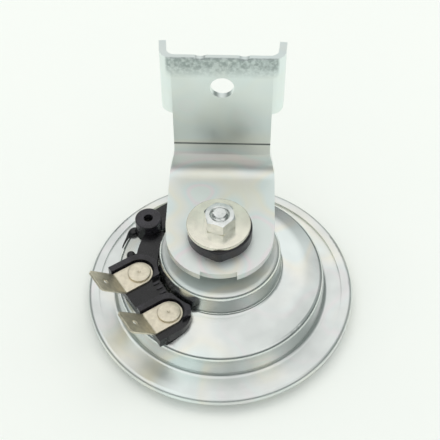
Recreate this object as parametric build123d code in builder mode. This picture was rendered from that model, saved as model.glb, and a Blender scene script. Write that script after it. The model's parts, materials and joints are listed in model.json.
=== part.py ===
from build123d import *
import os
from math import cos, radians, sin, tan

# A disc horn lying on its front face, with its mounting bracket fastened to its back.
# Millimetres and degrees. Z is the axis of the horn, and Z = 0 is the plane it rests on.

# ---- Clamped edge: the front rim rolled over gaskets, diaphragm and housing flange
hem_radius = 50.0
hem_bottom = 2.6
hem_rounding = 1.7
rim_sheet = 0.8
lip_reach = 4.2
rim_seat_width = 5.9
front_wall_run = 1.5
front_face_width = 4.1
gasket_thickness = 0.4
gasket_width = 6.3
diaphragm_thickness = 0.4
diaphragm_bead_inset = 12.8
diaphragm_bead_width = 4.0
diaphragm_bead_height = 0.9

# ---- Rear housing, a stepped pressing; the widths and rises are those of its outer face
housing_sheet = 1.0
dome_radius = 21.9
dome_draft = 0.4
dome_rise = 10.0
plateau_width = 8.7
plateau_rise = 1.5
ridge_width = 7.3
ridge_rise = 2.2
shoulder_draft = 1.0
shoulder_rise = 9.7
foot_fillet = 1.5
shoulder_fillet = 2.3
ridge_fillet = 25.0
dome_fillet = 2.2

# ---- Sounding parts on the axis
tone_disc_gap = 2.0
tone_disc_sheet = 0.8
tone_disc_bottom = 0.7
tone_disc_dish = 0.9
tone_disc_hub_radius = 8.0
tone_disc_turn_up = 1.3
tone_rivet_head_radius = 4.5
tone_rivet_head_height = 1.2
tone_rivet_radius = 2.4
tone_rivet_depth = 4.5
hub_spacer_radius = 5.5
armature_radius = 9.5
armature_height = 7.0
air_gap = 0.8

# ---- Magnet
core_radius = 7.0
neck_radius = 4.95
stud_radius = 3.0
stud_end_chamfer = 0.8
stud_projection = 0.7
bobbin_wall = 1.0
bobbin_gap = 1.9
bobbin_foot_clearance = 1.0
bobbin_flange = 1.2
winding_inset = 1.3

# ---- Bush, sleeve, washer and nut on the stud
bush_radius = 11.5
bush_nose_turn = 26.0
bush_nose_rounding = 3.5
bush_upper_height = 4.5
bush_lower_height = 5.5
bush_lower_radius = 8.5
bush_neck_radius = 7.0
bush_edge_rounding = 0.5
sleeve_outer_radius = 4.9
washer_radius = 11.3
washer_play = 0.4
washer_thickness = 1.5
nut_across_flats = 10.0
nut_height = 5.0
nut_turn = -17.0
nut_countersink = 0.5

# ---- Mounting bracket, one bent sheet
bracket_sheet = 2.5
pad_half_width = 19.5
pad_front_radius = 19.1
pad_taper = 4.0
pad_length = 25.2
front_cut_half_width = 6.4
front_cut_depth = 1.4
riser_bend_radius = 4.9
riser_height = 4.0
riser_half_width = 17.5
joggle_rise = 4.4
joggle_set_back = 1.3
joggle_radius = 3.2
crease_radius = 14.0
plate_lean = 5.0
plate_length = 37.4
channel_length = 23.6
web_half_width = 21.2
wing_flare = 5.0
wing_depth = 10.3
wing_bend_radius = 5.5
bracket_hole_radius = 4.2
bracket_hole_height = 25.3
scallop_radius = 4.3
scallop_depth = 0.5
scallop_spread = 7.5

# ---- Terminal block, one moulding; u points outwards between the two terminals, v across
block_direction = -145.0
block_edge_inset = 2.1
dome_clearance = 0.7
block_skirt = 0.6
rivet_inset = 8.5
upper_rivet_side = -11.2
lower_rivet_side = 9.4
surround_radius = 7.8
surround_height = 1.8
pocket_clearance = 0.6
pocket_floor_thickness = 1.4
rib_count = 4
rib_width = 0.9
rib_length = 2.4
rib_height = 0.4
rib_pitch = 2.3
rib_inset = 0.5
bar_start_turn = 25.0
bar_width = 8.0
boss_direction = -210.7
boss_inset = 6.4
boss_radius = 4.95
boss_height = 4.2
boss_edge_rounding = 0.5
lug_direction = -238.5
lug_inset = 7.5
lug_radius = 4.0
fin_direction = -185.5
fin_start_turn = 3.0
fin_end_turn = 12.0
fin_length = 2.6
fin_height = 1.0
collar_radius = 2.4

# ---- Terminals and rivets
terminal_width = 9.8
terminal_sheet = 0.8
blade_angle = 46.0
blade_length = 13.1
blade_bend_radius = 1.2
blade_corner = 1.0
blade_hole_radius = 1.0
blade_hole_reach = 7.7
rivet_radius = 1.6
rivet_head_radius = 4.15
rivet_head_height = 0.9
rivet_tail_radius = 2.6
rivet_tail_height = 0.8
lug_rivet_radius = 1.4
lug_rivet_head_radius = 2.7
lug_rivet_head_height = 0.8

# ---- Contact breaker
base_inset = 3.9
base_width = 11.8
base_start = -117.0
base_sweep = -98.0
base_depth = 4.1
leaf_pedestal_height = 1.0
pedestal_radius = 3.0
leaf_thickness = 0.4
leaf_width = 5.0
leaf_knee_direction = -159.0
leaf_knee_inset = 8.5
tongue_overlap = 1.1
contact_radius = 2.0
contact_height = 0.8
contact_share = 0.48
screw_radius = 1.7
screw_recess = 5.0
screw_slot = 0.6
screw_slot_depth = 1.0

# ---- Dab of sealing lacquer beside the boss
dab_direction = -206.0
dab_inset = 0.3
dab_radius = 2.2
dab_rise = 0.8

# ---- Clearances
slip = 0.05
running_gap = 0.2
seat_gap = 0.3

# ---- Heights and radii that follow
stack_radius = hem_radius - hem_rounding
front_wall_radius = hem_radius - rim_seat_width
front_face_radius = front_wall_radius - front_wall_run
front_face_inner_radius = front_face_radius - front_face_width
tone_disc_radius = front_face_inner_radius - tone_disc_gap
gasket_inner_radius = stack_radius - gasket_width
diaphragm_bead_radius = stack_radius - diaphragm_bead_inset
dome_foot_radius = dome_radius + dome_draft
ridge_radius = dome_foot_radius + plateau_width
shoulder_radius = ridge_radius + ridge_width
shoulder_foot_radius = shoulder_radius + shoulder_draft
bobbin_radius = dome_radius - housing_sheet - bobbin_gap
lower_gasket_bottom = hem_bottom + rim_sheet
diaphragm_bottom = lower_gasket_bottom + gasket_thickness
upper_gasket_bottom = diaphragm_bottom + diaphragm_thickness
flange_bottom = upper_gasket_bottom + gasket_thickness
flange_top = flange_bottom + housing_sheet
hem_top = flange_top + rim_sheet
shoulder_height = flange_top + shoulder_rise
ridge_height = shoulder_height + ridge_rise
plateau_height = ridge_height + plateau_rise
housing_top = plateau_height + dome_rise
housing_ceiling = housing_top - housing_sheet
hub_bottom = tone_disc_bottom + tone_disc_dish
hub_top = hub_bottom + tone_disc_sheet
armature_top = upper_gasket_bottom + armature_height
core_bottom = armature_top + air_gap
bobbin_bottom = core_bottom + bobbin_foot_clearance
pad_bottom = housing_top + bush_lower_height
pad_top = pad_bottom + bracket_sheet
sleeve_top = pad_top + bush_upper_height
nut_bottom = sleeve_top + washer_thickness
nut_top = nut_bottom + nut_height
stud_top = nut_top + stud_projection
block_outer_edge = shoulder_radius - block_edge_inset
block_inner_radius = dome_foot_radius + dome_clearance
block_bottom = ridge_height - block_skirt
rivet_reach = block_outer_edge - rivet_inset
bar_outer_radius = block_inner_radius + bar_width
boss_reach = shoulder_radius - boss_inset
lug_reach = shoulder_radius - lug_inset
base_outer_radius = shoulder_radius - base_inset
base_inner_radius = base_outer_radius - base_width
base_underside = ridge_height - base_depth
leaf_knee_reach = ridge_radius - leaf_knee_inset
dab_reach = shoulder_radius - dab_inset
dab_height = shoulder_height + dab_rise
pocket_floor = plateau_height + seat_gap + pocket_floor_thickness
terminal_top = pocket_floor + terminal_sheet
surround_top = pocket_floor + surround_height
boss_top = pocket_floor + boss_height
fin_reach = bar_outer_radius + fin_length
leaf_top = base_underside - leaf_pedestal_height
arm_top = leaf_top - leaf_thickness - 2 * contact_height
spring_top = {"upper": arm_top, "lower": leaf_top}
lug_rivet_tail_top = ridge_height - 2 * housing_sheet - seat_gap


def polar(reach, direction):
    """A place in plan, from its distance to the horn's axis and its direction."""
    return (reach * cos(radians(direction)), reach * sin(radians(direction)))


def housing_corners(grow):
    """Corners of the housing's outer face, moved outwards and upwards by grow."""
    return [
        (stack_radius, flange_top + grow),
        (shoulder_foot_radius + grow, flange_top + grow),
        (shoulder_radius + grow, shoulder_height + grow),
        (ridge_radius + grow, ridge_height + grow),
        (dome_foot_radius + grow, plateau_height + grow),
        (dome_radius + grow, housing_top + grow),
        (neck_radius + slip, housing_top + grow),
    ]


housing_fillets = [foot_fillet, shoulder_fillet, ridge_fillet, foot_fillet, dome_fillet]

block_plane = Plane(origin=(0, 0, 0), x_dir=polar(1, block_direction) + (0,), z_dir=(0, 0, 1))
rivet_sides = {"upper": upper_rivet_side, "lower": lower_rivet_side}
rivet_places = {
    name: block_plane.from_local_coords(Vector(rivet_reach, side, 0)) for name, side in rivet_sides.items()
}
boss_place = polar(boss_reach, boss_direction)
lug_place = polar(lug_reach, lug_direction)
contact_place = rivet_places["upper"] * (1 - contact_share) + Vector(*boss_place) * contact_share


def finish(piece, name):
    """Label a finished piece and write it."""
    piece.label = name
    export_step(piece, f"parts/{name}.step")


os.makedirs("parts", exist_ok=True)

# ------------------------------------------------------------------ clamped edge
with BuildPart() as front_rim:
    with BuildSketch(Plane.XZ):
        with BuildLine():
            FilletPolyline(
                (hem_radius - lip_reach, hem_top),
                (hem_radius, hem_top),
                (hem_radius, hem_bottom),
                (front_wall_radius, hem_bottom),
                (front_face_radius, 0),
                (front_face_inner_radius, 0),
                radius=[hem_rounding, hem_rounding, rim_sheet, 1.5 * rim_sheet],
            )
            offset(amount=rim_sheet, side=Side.RIGHT)
        make_face()
    revolve(axis=Axis.Z)
finish(front_rim.part, "front_rim")


def gasket(bottom):
    """A flat ring clamped beside the diaphragm."""
    with BuildPart() as ring:
        with BuildSketch(Plane.XY.offset(bottom)):
            Circle(stack_radius)
            Circle(gasket_inner_radius, mode=Mode.SUBTRACT)
        extrude(amount=gasket_thickness)
    return ring.part


finish(gasket(lower_gasket_bottom), "lower_gasket")
finish(gasket(upper_gasket_bottom), "upper_gasket")

# A thin sheet with one raised ring, so that its middle can move in and out
with BuildPart() as diaphragm:
    bead_foot = diaphragm_bead_width / 2
    bead_crown = bead_foot - diaphragm_bead_height
    with BuildSketch(Plane.XZ):
        with BuildLine():
            FilletPolyline(
                (stack_radius, diaphragm_bottom),
                (diaphragm_bead_radius + bead_foot, diaphragm_bottom),
                (diaphragm_bead_radius + bead_crown, diaphragm_bottom + diaphragm_bead_height),
                (diaphragm_bead_radius - bead_crown, diaphragm_bottom + diaphragm_bead_height),
                (diaphragm_bead_radius - bead_foot, diaphragm_bottom),
                (tone_rivet_radius + slip, diaphragm_bottom),
                radius=2 * diaphragm_thickness,
            )
            offset(amount=diaphragm_thickness, side=Side.RIGHT)
        make_face()
    revolve(axis=Axis.Z)
finish(diaphragm.part, "diaphragm")

# ------------------------------------------------------------------ rear housing
with BuildPart() as rear_housing:
    with BuildSketch(Plane.XZ):
        with BuildLine():
            FilletPolyline(*housing_corners(0), radius=housing_fillets)
            offset(amount=housing_sheet, side=Side.LEFT)
        make_face()
    revolve(axis=Axis.Z)
    with BuildSketch(Plane.XY.offset(flange_top)):
        with Locations(*rivet_places.values()):
            Circle(collar_radius + running_gap)
        with Locations(boss_place):
            Circle(screw_radius + running_gap)
        with Locations(lug_place):
            Circle(lug_rivet_radius + slip)
    extrude(amount=housing_top - flange_top - housing_sheet - dome_fillet, mode=Mode.SUBTRACT)
finish(rear_housing.part, "rear_housing")


def housing_room(grow):
    """The room inside the housing's outer face, after that face has moved outwards by grow."""
    with BuildPart() as room:
        with BuildSketch(Plane.XZ):
            with BuildLine():
                edge = FilletPolyline(*housing_corners(grow), radius=housing_fillets)
                Polyline(edge @ 1, (0, housing_top + grow), (0, 0), (stack_radius, 0), edge @ 0)
            make_face()
        revolve(axis=Axis.Z)
    return room.part


# ------------------------------------------------------------------ sounding parts on the axis
with BuildPart() as armature:
    with BuildSketch(Plane.XY.offset(upper_gasket_bottom)):
        Circle(armature_radius)
    extrude(amount=armature_height)
    with BuildSketch(Plane.XY.offset(upper_gasket_bottom)):
        Circle(tone_rivet_radius + slip)
    extrude(amount=tone_rivet_depth + slip, mode=Mode.SUBTRACT)
    chamfer(armature.edges().group_by(Axis.Z)[-1], length=0.6)
finish(armature.part, "armature")

with BuildPart() as hub_spacer:
    with BuildSketch(Plane.XY.offset(hub_top)):
        Circle(hub_spacer_radius)
        Circle(tone_rivet_radius + slip, mode=Mode.SUBTRACT)
    extrude(amount=diaphragm_bottom - hub_top)
finish(hub_spacer.part, "hub_spacer")

with BuildPart() as tone_disc:
    with BuildSketch(Plane.XZ):
        with BuildLine():
            FilletPolyline(
                (tone_rivet_radius + slip, hub_bottom),
                (tone_disc_hub_radius, hub_bottom),
                (tone_disc_hub_radius + 3 * tone_disc_dish, tone_disc_bottom),
                (tone_disc_radius - tone_disc_turn_up, tone_disc_bottom),
                (tone_disc_radius, tone_disc_bottom + tone_disc_turn_up),
                radius=1.2 * tone_disc_sheet,
            )
            offset(amount=tone_disc_sheet, side=Side.LEFT)
        make_face()
    revolve(axis=Axis.Z)
finish(tone_disc.part, "tone_disc")

with BuildPart() as tone_disc_rivet:
    with BuildSketch(Plane.XY.offset(hub_bottom)):
        Circle(tone_rivet_head_radius)
    extrude(amount=-tone_rivet_head_height)
    fillet(tone_disc_rivet.edges().group_by(Axis.Z)[0], radius=0.7 * tone_rivet_head_height)
    with BuildSketch(Plane.XY.offset(hub_bottom)):
        Circle(tone_rivet_radius)
    extrude(amount=upper_gasket_bottom + tone_rivet_depth - hub_bottom)
finish(tone_disc_rivet.part, "tone_disc_rivet")

# ------------------------------------------------------------------ magnet
with BuildPart() as pole_core:
    for radius, bottom, top in (
        (core_radius, core_bottom, housing_ceiling),
        (neck_radius, housing_ceiling, housing_top),
        (stud_radius, housing_top, stud_top),
    ):
        with BuildSketch(Plane.XY.offset(bottom)):
            Circle(radius)
        extrude(amount=top - bottom)
    chamfer(pole_core.edges().group_by(Axis.Z)[-1], length=stud_end_chamfer)
finish(pole_core.part, "pole_core")

tube_inner_radius = core_radius + seat_gap
tube_outer_radius = tube_inner_radius + bobbin_wall
with BuildPart() as coil_bobbin:
    with BuildSketch(Plane.XZ):
        with BuildLine():
            Polyline(
                (tube_inner_radius, bobbin_bottom),
                (bobbin_radius, bobbin_bottom),
                (bobbin_radius, bobbin_bottom + bobbin_flange),
                (tube_outer_radius, bobbin_bottom + bobbin_flange),
                (tube_outer_radius, housing_ceiling - bobbin_flange),
                (bobbin_radius, housing_ceiling - bobbin_flange),
                (bobbin_radius, housing_ceiling),
                (tube_inner_radius, housing_ceiling),
                close=True,
            )
        make_face()
    revolve(axis=Axis.Z)
finish(coil_bobbin.part, "coil_bobbin")

with BuildPart() as coil_winding:
    winding_bottom = bobbin_bottom + bobbin_flange + running_gap
    with BuildSketch(Plane.XY.offset(winding_bottom)):
        Circle(bobbin_radius - winding_inset)
        Circle(tube_outer_radius + running_gap, mode=Mode.SUBTRACT)
    extrude(amount=housing_ceiling - bobbin_flange - running_gap - winding_bottom)
    fillet(coil_winding.edges().filter_by(GeomType.CIRCLE).sort_by(SortBy.RADIUS)[-2:], radius=1.0)
finish(coil_winding.part, "coil_winding")

# ------------------------------------------------------------------ bush, sleeve, washer and nut
with BuildPart() as rubber_bush:
    with BuildSketch(Plane.XY.offset(housing_top)):
        Circle(bush_lower_radius)
    extrude(amount=bush_lower_height)
    with BuildSketch(Plane.XY.offset(pad_bottom)):
        Circle(bush_neck_radius)
    extrude(amount=bracket_sheet)
    # The upper flange is round, with a blunt nose towards the front of the bracket
    with BuildSketch(Plane.XY.offset(pad_top)) as upper_flange:
        Circle(bush_radius)
        with BuildLine():
            Polyline(
                (0, 0),
                polar(bush_radius, -90 - bush_nose_turn),
                (0, -bush_radius / cos(radians(bush_nose_turn))),
                polar(bush_radius, -90 + bush_nose_turn),
                close=True,
            )
        make_face()
        fillet(upper_flange.vertices().sort_by(Axis.Y)[0], radius=bush_nose_rounding)
    extrude(amount=bush_upper_height)
    fillet(rubber_bush.edges().group_by(Axis.Z)[-1], radius=bush_edge_rounding)
    with BuildSketch(Plane.XY.offset(housing_top)):
        Circle(sleeve_outer_radius + running_gap)
    extrude(amount=sleeve_top - housing_top, mode=Mode.SUBTRACT)
finish(rubber_bush.part, "rubber_bush")

with BuildPart() as spacer_sleeve:
    with BuildSketch(Plane.XY.offset(housing_top)):
        Circle(sleeve_outer_radius)
        Circle(stud_radius + running_gap, mode=Mode.SUBTRACT)
    extrude(amount=sleeve_top - housing_top)
finish(spacer_sleeve.part, "spacer_sleeve")

with BuildPart() as washer:
    with BuildSketch(Plane.XY.offset(sleeve_top)):
        with Locations((-washer_play, 0)):
            Circle(washer_radius)
            Circle(stud_radius + running_gap + washer_play, mode=Mode.SUBTRACT)
    extrude(amount=washer_thickness)
    fillet(washer.edges().filter_by(GeomType.CIRCLE).sort_by(SortBy.RADIUS)[-2:], radius=0.3)
finish(washer.part, "washer")

# A hexagon nut with both ends turned down to a cone
with BuildPart() as mounting_nut:
    corner_radius = nut_across_flats / 2 / cos(radians(30))
    cone_rise = (corner_radius - nut_across_flats / 2) * tan(radians(30))
    with BuildSketch(Plane.XY.offset(nut_bottom)):
        RegularPolygon(corner_radius, 6, rotation=nut_turn)
        Circle(stud_radius + slip, mode=Mode.SUBTRACT)
    extrude(amount=nut_height)
    with BuildSketch(Plane.XZ):
        with BuildLine():
            Polyline(
                (0, nut_bottom),
                (nut_across_flats / 2, nut_bottom),
                (corner_radius, nut_bottom + cone_rise),
                (corner_radius, nut_top - cone_rise),
                (nut_across_flats / 2, nut_top),
                (0, nut_top),
                close=True,
            )
        make_face()
    revolve(axis=Axis.Z, mode=Mode.INTERSECT)
    mouth = mounting_nut.edges().filter_by(GeomType.CIRCLE).sort_by(SortBy.RADIUS)[:2].sort_by(Axis.Z)[-1]
    chamfer(mouth, length=nut_countersink)
finish(mounting_nut.part, "mounting_nut")

# ------------------------------------------------------------------ mounting bracket
riser_face = pad_length + riser_bend_radius
riser_bottom = pad_top + riser_bend_radius
joggle_bottom = riser_bottom + riser_height
crease = (riser_face + joggle_set_back, joggle_bottom + joggle_rise)
plate_up = (sin(radians(plate_lean)), cos(radians(plate_lean)))
plate_end = (crease[0] + plate_length * plate_up[0], crease[1] + plate_length * plate_up[1])
plate_plane = Plane(origin=(0,) + crease, x_dir=(1, 0, 0), z_dir=(0,) + plate_up)
hole_place = (0, crease[0] + bracket_hole_height * plate_up[0], crease[1] + bracket_hole_height * plate_up[1])
hole_plane = Plane(origin=hole_place, x_dir=(1, 0, 0), z_dir=(0, -plate_up[1], plate_up[0]))

with BuildPart() as mounting_bracket:
    # Pad, bend, riser, joggle and plate as one folded strip
    with BuildSketch(Plane.YZ):
        with BuildLine():
            FilletPolyline(
                (-pad_front_radius, pad_top),
                (riser_face, pad_top),
                (riser_face, joggle_bottom),
                crease,
                plate_end,
                radius=[riser_bend_radius, joggle_radius, crease_radius],
            )
            offset(amount=bracket_sheet, side=Side.RIGHT)
        make_face()
    extrude(amount=pad_half_width, both=True)
    # Seen from above: a round front end. Seen from the front: narrower above the bend
    with BuildSketch(Plane.XY.offset(pad_bottom)):
        Circle(pad_front_radius)
        with Locations((0, plate_end[0] + pad_taper)):
            Rectangle(2 * pad_half_width, 2 * plate_end[0])
        make_hull()
    extrude(amount=plate_end[1], mode=Mode.INTERSECT)
    with BuildSketch(Plane.XZ.offset(-plate_end[0] - bracket_sheet)):
        with BuildLine():
            Polyline(
                (-pad_half_width, 0),
                (-pad_half_width, pad_top),
                (-riser_half_width, joggle_bottom),
                (-riser_half_width, plate_end[1]),
                (riser_half_width, plate_end[1]),
                (riser_half_width, joggle_bottom),
                (pad_half_width, pad_top),
                (pad_half_width, 0),
                close=True,
            )
        make_face()
    extrude(amount=2 * (plate_end[0] + bracket_sheet + pad_front_radius), mode=Mode.INTERSECT)
    # Channel with two flared wings behind the upper part of the plate
    with BuildSketch(plate_plane.offset(plate_length - channel_length)):
        with BuildLine():
            wing_edge = web_half_width + wing_depth * tan(radians(wing_flare))
            FilletPolyline(
                (-wing_edge, wing_depth),
                (-web_half_width, 0),
                (web_half_width, 0),
                (wing_edge, wing_depth),
                radius=wing_bend_radius,
            )
            offset(amount=bracket_sheet, side=Side.LEFT)
        make_face()
    extrude(amount=channel_length)
    # Shallow cut in the middle of the round front edge
    with BuildSketch(Plane.XY.offset(pad_bottom)):
        with Locations((0, -pad_front_radius)):
            Rectangle(2 * front_cut_half_width, pad_front_radius)
        Circle(pad_front_radius - front_cut_depth, mode=Mode.SUBTRACT)
    extrude(amount=bracket_sheet, mode=Mode.SUBTRACT)
    # Hole for the bush, bolt hole in the plate, two small scallops in its top edge
    with BuildSketch(Plane.XY.offset(pad_bottom)):
        Circle(bush_neck_radius + running_gap)
    extrude(amount=bracket_sheet, mode=Mode.SUBTRACT)
    with BuildSketch(hole_plane.offset(bracket_sheet)):
        Circle(bracket_hole_radius)
    extrude(amount=-3 * bracket_sheet, mode=Mode.SUBTRACT)
    with BuildSketch(hole_plane.offset(bracket_sheet)):
        with Locations(
            (-scallop_spread, plate_length - bracket_hole_height + scallop_radius - scallop_depth),
            (scallop_spread, plate_length - bracket_hole_height + scallop_radius - scallop_depth),
        ):
            Circle(scallop_radius)
    extrude(amount=-3 * bracket_sheet, mode=Mode.SUBTRACT)
finish(mounting_bracket.part, "mounting_bracket")

# ------------------------------------------------------------------ terminal block
with BuildPart() as terminal_block:
    # Walls round the two terminal pockets
    with BuildSketch(block_plane.offset(block_bottom)):
        for side in rivet_sides.values():
            with Locations((rivet_reach, side)):
                Circle(surround_radius)
            with Locations(((rivet_reach + block_outer_edge) / 2, side)):
                Rectangle(block_outer_edge - rivet_reach, 2 * surround_radius)
    extrude(amount=surround_top - block_bottom)
    # Each wall is cut down on the side of its terminal that faces the front of the horn
    with BuildSketch(block_plane.offset(pocket_floor)):
        for side in rivet_sides.values():
            with Locations((block_outer_edge / 2, side + (terminal_width / 2 + surround_radius) / 2)):
                Rectangle(block_outer_edge, surround_radius - terminal_width / 2)
    extrude(amount=surround_height, mode=Mode.SUBTRACT)
    # Plate between them, bar to the boss, and the fixing lug past it
    middle_reach = (block_inner_radius + block_outer_edge) / 2
    middle_side = (upper_rivet_side + lower_rivet_side) / 2
    with BuildSketch(block_plane.offset(block_bottom)):
        with Locations((middle_reach, middle_side)):
            Rectangle(block_outer_edge - block_inner_radius, lower_rivet_side - upper_rivet_side)
    extrude(amount=pocket_floor - block_bottom)
    with BuildSketch(Plane.XY.offset(block_bottom)):
        with BuildLine():
            bar_start = block_direction - bar_start_turn
            bar_sweep = boss_direction - bar_start
            outer_arc = CenterArc((0, 0), bar_outer_radius, bar_start, bar_sweep)
            inner_arc = CenterArc((0, 0), block_inner_radius, bar_start, bar_sweep)
            Line(outer_arc @ 0, inner_arc @ 0)
            Line(outer_arc @ 1, inner_arc @ 1)
        make_face()
    extrude(amount=pocket_floor - block_bottom)
    with BuildSketch(Plane.XY.offset(block_bottom)):
        with Locations(boss_place):
            Circle(boss_radius)
        with Locations(lug_place):
            Circle(lug_radius)
        make_hull()
    extrude(amount=pocket_floor - block_bottom)
    with BuildSketch(Plane.XY.offset(block_bottom)):
        with Locations(boss_place):
            Circle(boss_radius)
    extrude(amount=boss_top - block_bottom)
    fillet(terminal_block.edges().group_by(Axis.Z)[-1], radius=boss_edge_rounding)
    # Short ribs across the plate, along its inner edge
    with BuildSketch(block_plane.offset(pocket_floor)):
        with Locations((block_inner_radius + rib_inset + rib_length / 2, middle_side)):
            with GridLocations(rib_length, rib_pitch, 1, rib_count):
                SlotOverall(rib_length, rib_width)
    extrude(amount=rib_height)
    # Low fin between the bar and the upper pocket
    with BuildSketch(Plane.XY.offset(block_bottom)):
        with BuildLine():
            Polyline(
                polar(block_inner_radius, fin_direction),
                polar(bar_outer_radius, fin_direction - fin_start_turn),
                polar(fin_reach, fin_direction),
                polar(fin_reach, fin_direction + fin_end_turn),
                polar(block_inner_radius, fin_direction + fin_end_turn),
                close=True,
            )
        make_face()
    extrude(amount=ridge_height + fin_height - block_bottom)
    # Pockets for the terminals, open outwards
    with BuildSketch(block_plane.offset(pocket_floor)):
        pocket_radius = terminal_width / 2 + pocket_clearance
        for side in rivet_sides.values():
            with Locations((rivet_reach, side)):
                Circle(pocket_radius)
            with Locations((rivet_reach + block_outer_edge / 2, side)):
                Rectangle(block_outer_edge, 2 * pocket_radius)
    extrude(amount=surround_height, mode=Mode.SUBTRACT)
    # Seat on the housing, clear of the dome
    add(housing_room(seat_gap), mode=Mode.SUBTRACT)
    with BuildSketch(Plane.XY.offset(block_bottom)):
        Circle(block_inner_radius)
    extrude(amount=boss_top - block_bottom, mode=Mode.SUBTRACT)
    # Collars that keep the rivets off the housing
    with BuildSketch(Plane.XY.offset(ridge_height - housing_sheet)):
        with Locations(*rivet_places.values()):
            Circle(collar_radius)
    extrude(amount=pocket_floor - ridge_height + housing_sheet)
    # Bores for the rivets and the adjusting screw
    with BuildSketch(Plane.XY):
        with Locations(*rivet_places.values()):
            Circle(rivet_radius + slip)
        with Locations(boss_place):
            Circle(screw_radius + slip)
        with Locations(lug_place):
            Circle(lug_rivet_radius + slip)
    extrude(amount=boss_top, mode=Mode.SUBTRACT)
finish(terminal_block.part, "terminal_block")

# ------------------------------------------------------------------ terminals and their rivets
for name, side in rivet_sides.items():
    with BuildPart() as terminal:
        terminal_plane = Plane(
            origin=block_plane.from_local_coords(Vector(0, side, 0)),
            x_dir=block_plane.x_dir,
            z_dir=-block_plane.y_dir,
        )
        blade_up = (cos(radians(blade_angle)), sin(radians(blade_angle)))
        blade_tip = (block_outer_edge + blade_length * blade_up[0], pocket_floor + blade_length * blade_up[1])
        with BuildSketch(terminal_plane):
            with BuildLine():
                FilletPolyline(
                    (rivet_reach - terminal_width / 2, pocket_floor),
                    (block_outer_edge, pocket_floor),
                    blade_tip,
                    radius=blade_bend_radius + terminal_sheet,
                )
                offset(amount=terminal_sheet, side=Side.LEFT)
            make_face()
        extrude(amount=terminal_width / 2, both=True)
        inner_corners = terminal.edges().filter_by(Axis.Z).sort_by_distance((0, 0, pocket_floor))[:2]
        fillet(inner_corners, radius=terminal_width / 2 - slip)
        tip_corners = terminal.edges().sort_by_distance(
            block_plane.from_local_coords(
                Vector(block_outer_edge + 2 * blade_length, side, pocket_floor + 2 * blade_length)
            )
        )
        tip_corners = [
            e for e in tip_corners if abs(e.length - terminal_sheet) < slip and e.center().Z > surround_top
        ]
        chamfer(tip_corners, length=blade_corner)
        with BuildSketch(Plane.XY.offset(pocket_floor)):
            with Locations(rivet_places[name]):
                Circle(rivet_radius + slip)
        extrude(amount=terminal_sheet, mode=Mode.SUBTRACT)
        blade_plane = Plane(
            origin=block_plane.from_local_coords(Vector(block_outer_edge, side, pocket_floor)),
            x_dir=block_plane.y_dir,
            z_dir=block_plane.x_dir * -blade_up[1] + Vector(0, 0, blade_up[0]),
        )
        with BuildSketch(blade_plane.offset(-terminal_sheet)):
            with Locations((0, -blade_hole_reach)):
                Circle(blade_hole_radius)
        extrude(amount=3 * terminal_sheet, mode=Mode.SUBTRACT)
    finish(terminal.part, f"terminal_{name}")

    with BuildPart() as rivet:
        tail_top = spring_top[name] - leaf_thickness
        with BuildSketch(Plane.XY.offset(terminal_top)):
            with Locations(rivet_places[name]):
                Circle(rivet_head_radius)
        extrude(amount=rivet_head_height)
        fillet(rivet.edges().group_by(Axis.Z)[-1], radius=0.5 * rivet_head_height)
        with BuildSketch(Plane.XY.offset(tail_top)):
            with Locations(rivet_places[name]):
                Circle(rivet_radius)
        extrude(amount=terminal_top - tail_top)
        with BuildSketch(Plane.XY.offset(tail_top)):
            with Locations(rivet_places[name]):
                Circle(rivet_tail_radius)
        extrude(amount=-rivet_tail_height)
    finish(rivet.part, f"rivet_{name}")

with BuildPart() as block_fixing_rivet:
    with BuildSketch(Plane.XY.offset(pocket_floor)):
        with Locations(lug_place):
            Circle(lug_rivet_head_radius)
    extrude(amount=lug_rivet_head_height)
    fillet(block_fixing_rivet.edges().group_by(Axis.Z)[-1], radius=0.5 * lug_rivet_head_height)
    with BuildSketch(Plane.XY.offset(lug_rivet_tail_top)):
        with Locations(lug_place):
            Circle(lug_rivet_radius)
    extrude(amount=pocket_floor - lug_rivet_tail_top)
    with BuildSketch(Plane.XY.offset(lug_rivet_tail_top)):
        with Locations(lug_place):
            Circle(rivet_tail_radius)
    extrude(amount=-rivet_tail_height)
finish(block_fixing_rivet.part, "block_fixing_rivet")

# ------------------------------------------------------------------ contact breaker
with BuildPart() as contact_base:
    with BuildSketch(Plane.XY.offset(base_underside)):
        with BuildLine():
            outer_arc = CenterArc((0, 0), base_outer_radius, base_start, base_sweep)
            inner_arc = CenterArc((0, 0), base_inner_radius, base_start, base_sweep)
            Line(outer_arc @ 0, inner_arc @ 0)
            Line(outer_arc @ 1, inner_arc @ 1)
        make_face()
    extrude(amount=plateau_height - base_underside)
    for name, place in rivet_places.items():
        with BuildSketch(Plane.XY.offset(spring_top[name])):
            with Locations(place):
                Circle(pedestal_radius)
        extrude(amount=base_underside - spring_top[name])
    add(housing_room(-housing_sheet - running_gap), mode=Mode.INTERSECT)
    with BuildSketch(Plane.XY.offset(arm_top)):
        with Locations(*rivet_places.values()):
            Circle(rivet_radius + slip)
        with Locations(boss_place):
            Circle(screw_radius + slip)
    extrude(amount=plateau_height - arm_top, mode=Mode.SUBTRACT)
    with BuildSketch(Plane.XY.offset(ridge_height - housing_sheet - seat_gap)):
        with Locations(*rivet_places.values()):
            Circle(collar_radius + running_gap)
    extrude(amount=plateau_height, mode=Mode.SUBTRACT)
finish(contact_base.part, "contact_base")


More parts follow.
